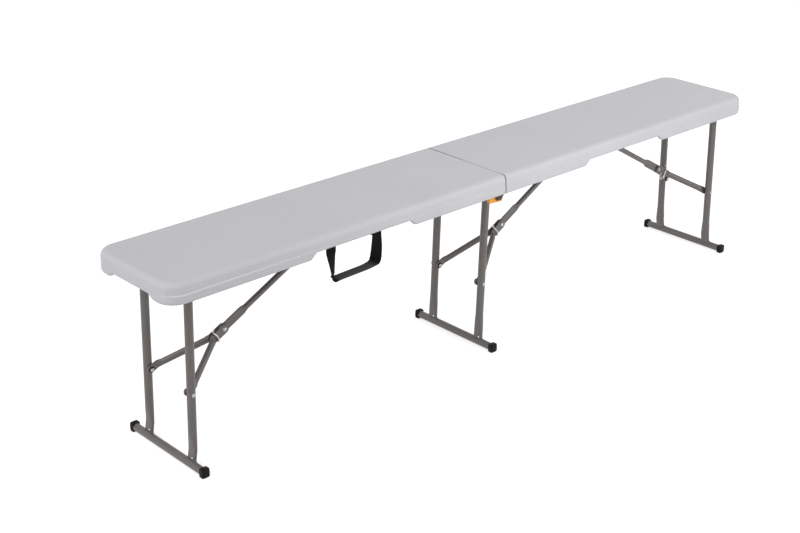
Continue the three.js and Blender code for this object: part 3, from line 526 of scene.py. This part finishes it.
# How square a section is: 2 is round.
circular, leg_square = 2, 3.6
leg_y = 78
crank_start, crank_run = 40, 42
crank_heights = [-3, -8, -14, -20, -26, -32, -38, -44, -60, -150]
above_taper = 40
bead_radius, bead_points, bead_gap, bead_wobble, bead_waves = 1.3, 28, 0.3, 0.25, 9
bead_aside, bead_squareness, least_reach = 0.5, 0.6, 2
spot_profile = [(0, 1.3), (1.3, 1.1), (2.1, 0.6), (2.5, 0)]
spot_rise, spot_aside = 14, 6
rod_shank = 4
rod_dome = [(0, 1.6), (2.6, 1.5), (4.6, 1.2), (5.9, 0.7), (6.5, 0)]
joints = {joint["name"]: Vector(joint["pos_m"]) for joint in frame["joints"] if joint.get("pos_m")}
legs = {
    "left": {"seat": "seat_left", "along": 1, "lean": 0.0298, "crank": 0, "offset": 0},
    "middle": {"seat": "seat_right", "along": 1, "lean": 0.04, "crank": 14.7, "offset": 7},
    "right": {"seat": "seat_right", "along": -1, "lean": 0.0298, "crank": 0, "offset": 7},
}


def lofted(bm, stations, sides=28):
    rings = []
    for centre, across, up, square in stations:
        ring = bmesh.ops.create_circle(bm, segments=sides, radius=1)["verts"]
        for vert in ring:
            left, high = (math.copysign(abs(part) ** (2 / square), part) for part in vert.co.xy)
            vert.co = Vector(centre) + Vector(across) * left + Vector(up) * high
        rings.append(ring)
    loops = [list({edge for vert in ring for edge in vert.link_edges}) for ring in rings]
    bmesh.ops.edgeloop_fill(bm, edges=loops[0])
    bmesh.ops.edgeloop_fill(bm, edges=loops[-1])
    for near, far in zip(loops, loops[1:]):
        bmesh.ops.bridge_loops(bm, edges=near + far)
    return [vert for ring in rings for vert in ring]


def upright_line(leg, z):
    lean = leg["lean"]
    if not leg["crank"]:
        return lean * z
    straight = lean * (z + crank_start) - leg["crank"]
    return straight * eased(-z / crank_run)


def leg_tube(bm, leg, y, foot):
    flat_top = foot[1] + flat_run
    round_bottom = flat_top + flat_taper
    heights = [*crank_heights, round_bottom + above_taper]
    heights += [round_bottom - flat_taper * i / flat_steps for i in range(flat_steps + 1)]
    stations = []
    for z in heights:
        flat = eased((round_bottom - z) / flat_taper)
        thick = tube_radius + (flat_thickness - tube_radius) * flat
        wide = tube_radius + (flat_width - tube_radius) * flat
        square = circular + (leg_square - circular) * flat
        stations.append((upright_line(leg, z), z, thick, wide, square))
    stations.append((leg["low_x"], foot[1] + flat_sink, flat_thickness, flat_width, leg_square))
    lofted(bm, [((x * mm, y * mm, z * mm), (thick * mm, 0, 0), (0, wide * mm, 0), square)
                for x, z, thick, wide, square in stations])


def bent_wire(points, radius, closed=False, fine=8):
    curve = bpy.data.curves.new("wire", "CURVE")
    curve.dimensions = "3D"
    curve.bevel_depth = radius
    curve.bevel_resolution = 4
    curve.resolution_u = fine
    curve.use_fill_caps = True
    spline = curve.splines.new("BEZIER")
    spline.bezier_points.add(len(points) - 1)
    spline.use_cyclic_u = closed
    for place, point in zip(spline.bezier_points, points):
        place.co = point
        place.handle_left_type = place.handle_right_type = "AUTO"
    holder = bpy.data.objects.new("wire", curve)
    bpy.context.scene.collection.objects.link(holder)
    bpy.context.view_layer.update()
    made = bpy.data.meshes.new_from_object(holder.evaluated_get(bpy.context.evaluated_depsgraph_get()))
    bm = bmesh.new()
    bm.from_mesh(made)
    bmesh.ops.remove_doubles(bm, verts=bm.verts, dist=0.002 * mm)
    bpy.data.objects.remove(holder)
    bpy.data.curves.remove(curve)
    bpy.data.meshes.remove(made)
    return bm


def weld_bead(x0, y0, foot):
    points = []
    for i in range(bead_points):
        angle = 2 * math.pi * i / bead_points
        x, y = (
            math.copysign(abs(part) ** bead_squareness, part)
            for part in (math.cos(angle), math.sin(angle)))
        x, y = x * (flat_thickness + bead_aside), y * (flat_width + bead_aside)
        reach = math.sqrt(max(foot_radius ** 2 - (x0 + x - foot[0]) ** 2, least_reach ** 2))
        rise = reach + bead_gap + bead_wobble * math.sin(bead_waves * angle)
        points.append(Vector((x0 + x, y0 + y, foot[1] + rise)) * mm)
    return bent_wire(points, bead_radius * mm, closed=True, fine=3)


for name, leg in legs.items():
    body = f"leg_{name}"
    pivot = joints[f"leg_{name}_fold"]
    leg["place"] = Matrix.Translation(pivot) @ Matrix.Rotation(0 if leg["along"] > 0 else math.pi, 4, "Z")
    foot_low, foot_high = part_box(f"foot_tube_{name}")
    foot_middle = leg["place"].inverted() @ ((foot_low + foot_high) / 2)
    foot = (foot_middle.x / mm, foot_middle.z / mm)
    leg["low_x"] = low_x = (upright_line(leg, foot[1]) + foot[0]) / 2

    low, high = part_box(f"pivot_tube_{name}")
    bm = bmesh.new()
    half = (high.y - low.y) / 2 / mm
    shoulder = tube_radius - pivot_edge
    turned(bm, [
        (pivot_bore, -half), (shoulder, -half), (tube_radius, -half + pivot_edge),
        (tube_radius, half - pivot_edge), (shoulder, half), (pivot_bore, half),
        (pivot_bore, half - pivot_bore_depth), (pivot_bore, pivot_bore_depth - half), (pivot_bore, -half),
    ], pivot)
    add_piece(f"welded_pivot_tube_{name}", bm, grey_steel, "grey_steel", body, f"pivot_tube_{name}")
    headed_pin(f"turned_pivot_rod_{name}", f"pivot_rod_{name}", leg["seat"], rod_shank, rod_dome)

    half = (foot_high.y - foot_low.y) / 2 / mm + foot_run_in
    bm = bmesh.new()
    outside = [(foot_radius, along) for along in (-half, *foot_rings, half)]
    inside = [(foot_bore, half), (foot_bore, -half)]
    turned(bm, [(foot_bore, -half), *outside, *inside], (foot_low + foot_high) / 2, steps=48)
    add_piece(f"bent_foot_tube_{name}", bm, grey_steel, "grey_steel", body, f"foot_tube_{name}")

    for side, sign in (("front", -leg["along"]), ("rear", leg["along"])):
        bm = bmesh.new()
        leg_tube(bm, leg, sign * leg_y, foot)
        bm.transform(leg["place"])
        node = f"leg_tube_{name}_{side}"
        add_piece(f"pressed_leg_{name}_{side}", bm, grey_steel, "grey_steel", body, node)

        bm = weld_bead(low_x, sign * leg_y, foot)
        bm.transform(leg["place"])
        add_piece(f"foot_weld_{name}_{side}", bm, grey_steel, "grey_steel", body)

        bm = bmesh.new()
        flat_x = upright_line(leg, foot[1] + flat_run)
        spot_x = low_x + (flat_x - low_x) * (spot_rise - flat_sink) / (flat_run - flat_sink)
        head = turned(bm, spot_profile, (0, 0, 0), steps=20)
        bmesh.ops.rotate(bm, cent=(0, 0, 0), matrix=Matrix.Rotation(math.pi / 2, 3, "Z"), verts=head)
        shift = Vector((spot_x - flat_thickness, sign * leg_y - spot_aside, foot[1] + spot_rise)) * mm
        bmesh.ops.translate(bm, vec=shift, verts=head)
        bm.transform(leg["place"])
        add_piece(f"leg_spot_{name}_{side}", bm, zinc_steel, "zinc_steel", body)

# Foot caps
# Black moulded cups pushed over the ends of each foot tube, squarish in section and rounded at the
# rim, with a shallow groove round the mouth. The bench stands on their flat undersides.

cap_radius, cap_inside, cap_squareness, cap_narrowing = 10.6, 9.05, 0.75, 0.9
cap_profile = [
    (0, 15), (8.8, 15), (9.5, 14.9), (10.1, 14.6), (10.45, 14.1), (10.6, 13.4), (10.6, 6.6), (10.4, 6.3),
    (10.1, 6), (10.1, 5.4), (10.4, 5.1), (10.6, 4.8), (10.6, 3.6), (10.4, 3.15), (10, 3), (9.1, 3),
    (9, 3.3), (9, 6), (0, 6),
]

black_plastic, tree, surface = new_finish("black_plastic")
tone = place_effect(tree, drift, Patches=50)["Tone"]
grain = place_effect(tree, mould_grain, Pebbles=1500)["Height"]
wear = place_effect(tree, edge_wear, Reach=0.35)["Mask"]
marks = place_effect(tree, scuffs, Strokes=200)["Mask"]
cap_colour = mixed(tree, tone, paint(12, 12, 12), paint(19, 18, 19))
cap_colour = mixed(tree, ranged(tree, marks, 0, 0.2), cap_colour, paint(40, 39, 40))
tree.links.new(mixed(tree, wear, cap_colour, paint(50, 49, 50)), surface["Base Color"])
surface["Specular IOR Level"].default_value = 0.12
tree.links.new(ranged(tree, tone, 0.42, 0.58), surface["Roughness"])
tree.links.new(bumped(tree, grain, 0.4, 0.15 * mm), surface["Normal"])

for name, leg in legs.items():
    for side, sign in (("front", -1), ("rear", 1)):
        node = f"foot_cap_{name}_{side}"
        low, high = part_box(node)
        mouth = high.y if sign < 0 else low.y
        centre = Vector(((low.x + high.x) / 2, mouth, low.z + cap_radius * mm))
        bm = bmesh.new()
        turned(bm, cap_profile, centre, direction=sign, steps=56)
        for vert in bm.verts:
            across = Vector((vert.co.x - centre.x, vert.co.z - centre.z))
            if across.length > cap_inside * mm:
                towards = across.normalized()
                across /= max(abs(towards.x), abs(towards.y)) ** cap_squareness
            vert.co.x = centre.x + across.x * cap_narrowing
            vert.co.z = max(centre.z + across.y, low.z)
        add_piece(f"moulded_{node}", bm, black_plastic, "black_plastic", f"leg_{name}", node)

# Forks of the braces
# Two steel tubes, pressed flat at both ends, run from the leg tubes to the knee. Rivets hold them
# to the legs over black washers, and their flat ends lie on both sides of the link.

# Half sizes of each section, across and up: the pressed end on the leg, the tube, the knee plate.
arm_flat, arm_tube, plate_half = (2.5, 8.5), (7, 7.6), (2, 10.5)
arm_y, plate_y, neck_y = 65.65, 4.6, 10
flat_end, tube_start, taper_steps, taper_curve = 14, 28, 5, 1.6
tube_rows, neck_back, neck_run, plate_back = (40, 60), 40, 12, 32
flat_square = 6
end_angles = (82, 70, 56, 42, 28, 14, 0)
washer_y = 62.9
washer_profile = [
    (3.2, 0), (6, 0), (6.5, -0.4), (6.7, -1.2), (6.5, -2.2), (5.9, -2.8), (3.2, -2.8), (3.2, 0),
]
rivet_shank, rivet_inner, rivet_outer = 3, 60, 87.4
rivet_dome = [(0, 0.8), (1.5, 0.8), (1.9, 1.5), (2.4, 1.7), (3.4, 1.4), (4.4, 0.75), (4.8, 0)]

# Rivet steel, blued by the press, bright only where the set struck it.
rivet_steel, tree, surface = new_finish("rivet_steel", metallic=1)
tone = place_effect(tree, drift, Patches=90)["Tone"]
struck = place_effect(tree, scuffs, Strokes=300)["Mask"]
wear = place_effect(tree, edge_wear, Reach=0.9)["Mask"]
head_colour = mixed(tree, tone, paint(150, 148, 145), paint(184, 182, 179))
head_colour = mixed(tree, ranged(tree, struck, 0, 0.5), head_colour, paint(214, 212, 210))
tree.links.new(mixed(tree, wear, head_colour, paint(232, 231, 229)), surface["Base Color"])
tree.links.new(ranged(tree, tone, 0.3, 0.42), surface["Roughness"])
tree.links.new(bumped(tree, tone, 0.15, 0.1 * mm), surface["Normal"])


def rounded_end(x, y, half, direction):
    thick, radius = half
    turns = [math.radians(angle) for angle in end_angles]
    return [
        (x + direction * radius * math.sin(turn), y, thick, radius * math.cos(turn), flat_square)
        for turn in turns
    ]


def pressed(first, last, share):
    return [start + (stop - start) * share for start, stop in zip(first, last)]


def brace_stations(bm, rows):
    return lofted(bm, [((x * mm, y * mm, 0), (0, wide * mm, 0), (0, 0, high * mm), square)
                       for x, y, wide, high, square in rows])


def fork_arm(bm, leg, sign):
    fork, offset = leg["fork"], leg["offset"]
    leg_face, knee_face = sign * arm_y, offset + sign * plate_y
    neck, neck_face = fork - neck_back, offset + sign * neck_y

    def between(x):
        return leg_face + (neck_face - leg_face) * (x - flat_end) / (neck - flat_end)

    rows = rounded_end(0, leg_face, arm_flat, -1)
    rows.append((flat_end, leg_face, *arm_flat, flat_square))
    for i in range(1, taper_steps + 1):
        part = i / taper_steps
        x, share = flat_end + (tube_start - flat_end) * part, eased(part)
        y = leg_face + (between(tube_start) - leg_face) * part ** taper_curve
        rows.append((x, y, *pressed((*arm_flat, flat_square), (*arm_tube, circular), share)))
    rows += [(x, between(x), *arm_tube, circular) for x in (*tube_rows, neck - neck_run)]
    for i in range(taper_steps + 1):
        part = i / taper_steps
        x, share = neck + (neck_back - plate_back) * part, eased(part)
        y = neck_face + (knee_face - neck_face) * share
        rows.append((x, y, *pressed((*arm_tube, circular), (*plate_half, flat_square), share)))
    rows += reversed(rounded_end(fork, knee_face, plate_half, 1))
    brace_stations(bm, rows)


for name, leg in legs.items():
    body = f"fork_{name}"
    rivet, anchor = joints[f"fork_{name}_turn"], joints[f"link_{name}_turn"]
    low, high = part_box(f"knee_rivet_{name}")
    knee = Vector(((low.x + high.x) / 2, 0, (low.z + high.z) / 2))
    leg["fork"], leg["link"] = (knee - rivet).length / mm, (anchor - knee).length / mm
    ahead = (anchor - rivet).normalized()
    across = Vector((0, leg["along"], 0))
    turn = Matrix((ahead, across, ahead.cross(across))).transposed().to_4x4()
    leg["brace"] = Matrix.Translation(rivet) @ turn
    for side, sign in (("front", -leg["along"]), ("rear", leg["along"])):
        bm = bmesh.new()
        fork_arm(bm, leg, sign)
        bm.transform(leg["brace"])
        node = f"brace_arm_{name}_{side}"
        add_piece(f"pressed_arm_{name}_{side}", bm, grey_steel, "grey_steel", body, node)

        bm = bmesh.new()
        turned(bm, washer_profile, (0, sign * washer_y * mm, 0), direction=sign)
        bm.transform(leg["brace"])
        add_piece(f"washer_{name}_{side}", bm, black_plastic, "black_plastic", f"leg_{name}")

        bm = bmesh.new()
        inner = [(radius, rivet_inner - along) for radius, along in rivet_dome]
        outer = [(radius, rivet_outer + along) for radius, along in reversed(rivet_dome)]
        shank = [(rivet_shank, rivet_inner), (rivet_shank, rivet_outer)]
        turned(bm, [*inner, *shank, *outer], (0, 0, 0), direction=sign)
        bm.transform(leg["brace"])
        node = f"fork_rivet_{name}_{side}"
        add_piece(f"domed_rivet_{name}_{side}", bm, rivet_steel, "zinc_steel", f"leg_{name}", node)

# Links of the braces
# A steel tube whose knee end is pressed to a long flat blade between the fork's plates. A short
# sleeve welded to its other end turns on the anchor bar. A rivet closes the knee.

blade_run, blade_end, blade_back, blade_taper, blade_steps = 56, 6, 2, 14, 8
link_tube, link_rows, link_end = (6.5, 6.5), (0.4, 0.7, 0.9), 6
sleeve_profile = [
    (5.9, -6.5), (7.9, -6.5), (8.4, -6.2), (8.5, -5.7), (8.5, 5.7), (8.4, 6.2), (7.9, 6.5), (5.9, 6.5),
    (5.9, -6.5),
]
shank_start, plate_face, head_start = 2.7, 6.7, 6.5

for name, leg in legs.items():
    body = f"link_{name}"
    fork, link, offset = leg["fork"], leg["link"], leg["offset"]
    rows = rounded_end(fork, offset, plate_half, -1)
    rows.append((fork + blade_run - blade_end, offset, *plate_half, flat_square))
    for i in range(blade_steps + 1):
        x = fork + blade_run - blade_back + blade_taper * i / blade_steps
        share = eased(i / blade_steps)
        rows.append((x, offset, *pressed((*plate_half, flat_square), (*link_tube, circular), share)))
    rows += [(fork + link * share, offset, *link_tube, circular) for share in link_rows]
    rows.append((fork + link - link_end, offset, *link_tube, circular))
    bm = bmesh.new()
    brace_stations(bm, rows)
    turned(bm, sleeve_profile, ((fork + link) * mm, offset * mm, 0))
    bm.transform(leg["brace"])
    add_piece(f"pressed_link_{name}", bm, grey_steel, "grey_steel", body, f"brace_link_{name}")

    front = -leg["along"]
    bm = bmesh.new()
    shank = [(0, shank_start), (rivet_shank, shank_start), (rivet_shank, plate_face)]
    dome = [(radius, plate_face + along) for radius, along in reversed(rivet_dome)]
    turned(bm, [*shank, *dome], (fork * mm, offset * mm, 0), direction=front)
    bm.transform(leg["brace"])
    node = f"knee_rivet_{name}"
    add_piece(f"domed_knee_rivet_{name}", bm, rivet_steel, "zinc_steel", f"fork_{name}", node)

    bm = bmesh.new()
    turned(bm, [(0, head_start), *dome], (fork * mm, offset * mm, 0), direction=-front)
    bm.transform(leg["brace"])
    add_piece(f"knee_head_{name}", bm, rivet_steel, "zinc_steel", f"fork_{name}")

# Wire locks
# A bright bent wire rides on the fork's front plate behind the knee and bows across it. Its ends
# hook round the plate's edges, and on the right brace the lower one is a ring to pull it by.

wire_radius = 1.4
wire_back = 25.5
wire_inner, wire_outer, wire_edge, wire_rise = 4, 8.4, 12.4, 2.6
wire_bow = 2.4
hook_back, hook_side = 2, 1
curl_radius, curl_angles = 2.2, (30, 90, 150)
ring_radius, ring_length, ring_drop, ring_tilt = 6.4, 10.6, 3.5, 1.5
ring_angles = range(435, 180, -15)

for name, leg in legs.items():
    hook = [
        (0, wire_outer, wire_edge - hook_back), (0, wire_outer - hook_side, wire_edge),
        (0, wire_inner, wire_edge),
    ]
    curl = []
    for degrees in curl_angles:
        angle = math.radians(degrees)
        x, z = curl_radius * (1 - math.cos(angle)), wire_edge + curl_radius * math.sin(angle)
        curl.append((x, wire_inner, z))
    upper = hook + curl
    lower = [(x, y, -z) for x, y, z in reversed(upper)]
    upper = [(x, y, z + wire_rise) for x, y, z in upper]
    if name == "right":
        lower = []
        for degrees in ring_angles:
            angle = math.radians(degrees)
            lower.append((
                ring_length * (1 + math.cos(angle)),
                wire_outer + ring_tilt * (1 - math.sin(angle)),
                ring_radius * math.sin(angle) - plate_half[1] - ring_drop))
    front = -leg["along"]
    path = [*lower, (wire_bow, wire_outer + wire_bow, 0), *upper]
    start = Vector((leg["fork"] - wire_back, leg["offset"], 0))
    points = [(start + Vector((x, front * y, z))) * mm for x, y, z in path]
    bm = bent_wire(points, wire_radius * mm)
    bm.transform(leg["brace"])
    add_piece(f"bent_lock_wire_{name}", bm, zinc_steel, "zinc_steel", f"lock_{name}", f"lock_wire_{name}")

# Anchor bars
# A round steel bar across the rails of each half, reduced at its ends, peened over outside them.
# The links of the braces turn on it.

anchor_shank = 5.5
anchor_dome = [(0, 1.8), (2.6, 1.7), (4.6, 1.35), (5.9, 0.8), (6.5, 0)]

for end in ("left", "right"):
    headed_pin(
        f"turned_anchor_bar_{end}", f"anchor_bar_{end}", f"seat_{end}", anchor_shank, anchor_dome,
        grey_steel, "grey_steel")

# Carrying strap
# A loop of black woven webbing on a steel strip inside the front skirt. Each end is folded, sewn
# and riveted to the strip, and the loop hangs with half a turn in it.

strap_half = 12.5
strap_thick = 1.9
strap_y = -121.45
strap_far, strap_near, strap_top, strap_drop = -504.5, -385, 405, 71.5
strip_edge = 0.3 * mm
# The loop's middle line: share of the way along, share of the way down, twist in degrees.
strap_route = [
    (-0.02, 0, 0), (-0.02, 0.15, 0), (-0.015, 0.3, 12), (0, 0.5, 24), (0.015, 0.77, 36),
    (0.022, 0.96, 44), (0.03, 1.02, 62), (0.06, 1.04, 84), (0.2, 1.03, 90), (0.7, 1.01, 92),
    (0.86, 0.985, 98), (0.95, 0.945, 112), (0.99, 0.88, 132), (1.01, 0.78, 148), (1.03, 0.5, 163),
    (1.035, 0.15, 180), (1.035, 0, 180),
]
steps_per_row, strap_rows, look_ahead = 30, 150, 0.004

black_webbing, tree, surface = new_finish("black_webbing")
woven = add_node(tree, "ShaderNodeUVMap", uv_map="woven").outputs[0]
warp = add_node(
    tree, "ShaderNodeTexWave", {"Vector": woven, "Scale": 5.5, "Distortion": 0}, bands_direction="X")
picks = add_node(
    tree, "ShaderNodeTexWave", {"Vector": woven, "Scale": 46, "Distortion": 0.4}, bands_direction="Y")
threads = joined(tree, "MULTIPLY", warp.outputs["Fac"], picks.outputs["Fac"])
tone = place_effect(tree, drift, Patches=30)["Tone"]
yarn = mixed(tree, tone, paint(7, 7, 7), paint(13, 12, 12))
# Painted light: the stretch that the hand holds faces up along the bottom of the loop and is painted paler,
# as if lit from above.
length = add_node(tree, "ShaderNodeSeparateXYZ", {"Vector": woven}).outputs["Y"]
painted_light_on_run = joined(tree, "MULTIPLY", ramped(tree, length, 0.29, 0.33), ramped(tree, length, 0.74, 0.68))
yarn = mixed(tree, painted_light_on_run, yarn, paint(84, 82, 82))
yarn = mixed(tree, ranged(tree, threads, 0, 0.6), yarn, paint(30, 29, 29))
tree.links.new(yarn, surface["Base Color"])
tree.links.new(ranged(tree, threads, 0.8, 0.65), surface["Roughness"])
tree.links.new(bumped(tree, threads, 0.6, 0.5 * mm), surface["Normal"])
surface["Specular IOR Level"].default_value = 0.08
surface["Sheen Weight"].default_value = 0.03

softened("strap_strip", "strap_bar", zinc_steel, "zinc_steel", "seat_left", strip_edge)


def route_point(place):
    last = len(strap_route) - 1
    i = min(int(place), last - 1)
    near = [min(max(k, 0), last) for k in (i - 1, i, i + 1, i + 2)]
    before, start, stop, after = (Vector(strap_route[k]) for k in near)
    t = place - i
    run, drop, turn = 0.5 * (
        2 * start + (stop - before) * t + (2 * before - 5 * start + 4 * stop - after) * t ** 2
        + (3 * start - before - 3 * stop + after) * t ** 3)
    x = strap_far + (strap_near - strap_far) * run
    return Vector((x, strap_y, strap_top - strap_drop * drop)) * mm, math.radians(turn)


route_steps = [i / steps_per_row for i in range(steps_per_row * (len(strap_route) - 1) + 1)]
reached = [0]
for near, far in zip(route_steps, route_steps[1:]):
    reached.append(reached[-1] + (route_point(far)[0] - route_point(near)[0]).length)


def along_strap(share):
    goal = min(max(share, 0), 1) * reached[-1]
    i = min(max(bisect.bisect_left(reached, goal), 1), len(reached) - 1)
    part = (goal - reached[i - 1]) / max(reached[i] - reached[i - 1], 1e-9)
    return route_point(route_steps[i - 1] + (route_steps[i] - route_steps[i - 1]) * part)


bm = bmesh.new()
bm.loops.layers.uv.new("woven")
bmesh.ops.create_grid(bm, x_segments=8, y_segments=strap_rows, size=1, calc_uvs=True)
for vert in bm.verts:
    share = (vert.co.y + 1) / 2
    middle, turn = along_strap(share)
    ahead = (along_strap(share + look_ahead)[0] - along_strap(share - look_ahead)[0]).normalized()
    across = Vector((math.cos(turn), math.sin(turn), 0))
    across = (across - ahead * across.dot(ahead)).normalized()
    vert.co = middle + across * vert.co.x * strap_half * mm
webbing = add_piece("woven_strap", bm, black_webbing, "black_webbing", "strap", "strap_handle")
thickness = webbing.modifiers.new("thickness", "SOLIDIFY")
thickness.thickness = strap_thick * mm
thickness.offset = 0

# Floor, light and camera
# A pale studio floor, with soft light from the front right, from the left, and from low down in
# front of the skirt's middle. Floor and backdrop are plain white where the camera sees them.

floor_size, floor_tone, floor_glow = 6, 0.6, 0.68
world_light = 0.565
camera_place, lens, sensor = (-2.2787, -2.2689, 1.5801), 65.94, 36
azimuth, elevation, roll = 0.741, 0.413, 0.002


def seen_directly(tree):
    seen = add_node(tree, "ShaderNodeLightPath").outputs
    direct = joined(tree, "MAXIMUM", seen["Is Camera Ray"], seen["Is Glossy Ray"])
    return joined(tree, "MAXIMUM", direct, seen["Is Transmission Ray"])


floor_bm = bmesh.new()
bmesh.ops.create_grid(floor_bm, x_segments=2, y_segments=2, size=floor_size)
floor_mesh = bpy.data.meshes.new("studio_floor")
floor_bm.to_mesh(floor_mesh)
floor_bm.free()
floor = bpy.data.objects.new("studio_floor", floor_mesh)
bpy.context.scene.collection.objects.link(floor)

floor_white = bpy.data.materials.new("studio_floor")
floor_white.use_nodes = True
tree = floor_white.node_tree
paper = tree.nodes["Principled BSDF"]
paper.inputs["Base Color"].default_value = (floor_tone, floor_tone, floor_tone, 1)
paper.inputs["Roughness"].default_value = 0.9
paper.inputs["Specular IOR Level"].default_value = 0
glow = add_node(tree, "ShaderNodeEmission", {"Color": (1, 1, 1, 1), "Strength": floor_glow})
lit = tree.nodes.new("ShaderNodeAddShader")
tree.links.new(paper.outputs[0], lit.inputs[0])
tree.links.new(glow.outputs[0], lit.inputs[1])
pick = tree.nodes.new("ShaderNodeMixShader")
tree.links.new(seen_directly(tree), pick.inputs[0])
tree.links.new(paper.outputs[0], pick.inputs[1])
tree.links.new(lit.outputs[0], pick.inputs[2])
tree.links.new(pick.outputs[0], tree.nodes["Material Output"].inputs["Surface"])
floor_mesh.materials.append(floor_white)

world = bpy.data.worlds.new("studio")
bpy.context.scene.world = world
world.use_nodes = True
tree = world.node_tree
strength = ranged(tree, seen_directly(tree), world_light, 1)
tree.links.new(strength, tree.nodes["Background"].inputs["Strength"])
tree.nodes["Background"].inputs["Color"].default_value = (1, 1, 1, 1)


def add_lamp(name, kind, strength, place, towards, **settings):
    lamp = bpy.data.lights.new(name, kind)
    lamp.energy = strength
    for setting, value in settings.items():
        setattr(lamp, setting, value)
    holder = bpy.data.objects.new(name, lamp)
    holder.location = place
    holder.rotation_mode = "QUATERNION"
    holder.rotation_quaternion = Vector(towards).to_track_quat("-Z", "Y")
    holder.visible_camera = False
    bpy.context.scene.collection.objects.link(holder)


add_lamp("front_softbox", "AREA", 20, (1.7, -2.5, 1.3), (-1.4, 2.5, -0.9), shape="SQUARE", size=1.6)
add_lamp("low_softbox", "AREA", 2.8, (0.24, -1.1, 0.48), (0, 1, -0.06), shape="SQUARE", size=0.6)
add_lamp("left_light", "SUN", 1.35, (0, 0, 0), (0.9, 0.1, -0.6), angle=math.radians(60))

camera = bpy.data.objects.new("camera", bpy.data.cameras.new("camera"))
bpy.context.scene.collection.objects.link(camera)
bpy.context.scene.camera = camera
camera.data.lens, camera.data.sensor_width = lens, sensor
looking = Vector((
    math.cos(elevation) * math.sin(azimuth), math.cos(elevation) * math.cos(azimuth), -math.sin(elevation)))
camera.location = camera_place
camera.rotation_mode = "QUATERNION"
rolled = Matrix.Rotation(roll, 3, "Z").to_quaternion()
camera.rotation_quaternion = looking.to_track_quat("-Z", "Y") @ rolled

bpy.context.scene.view_settings.view_transform = "Standard"
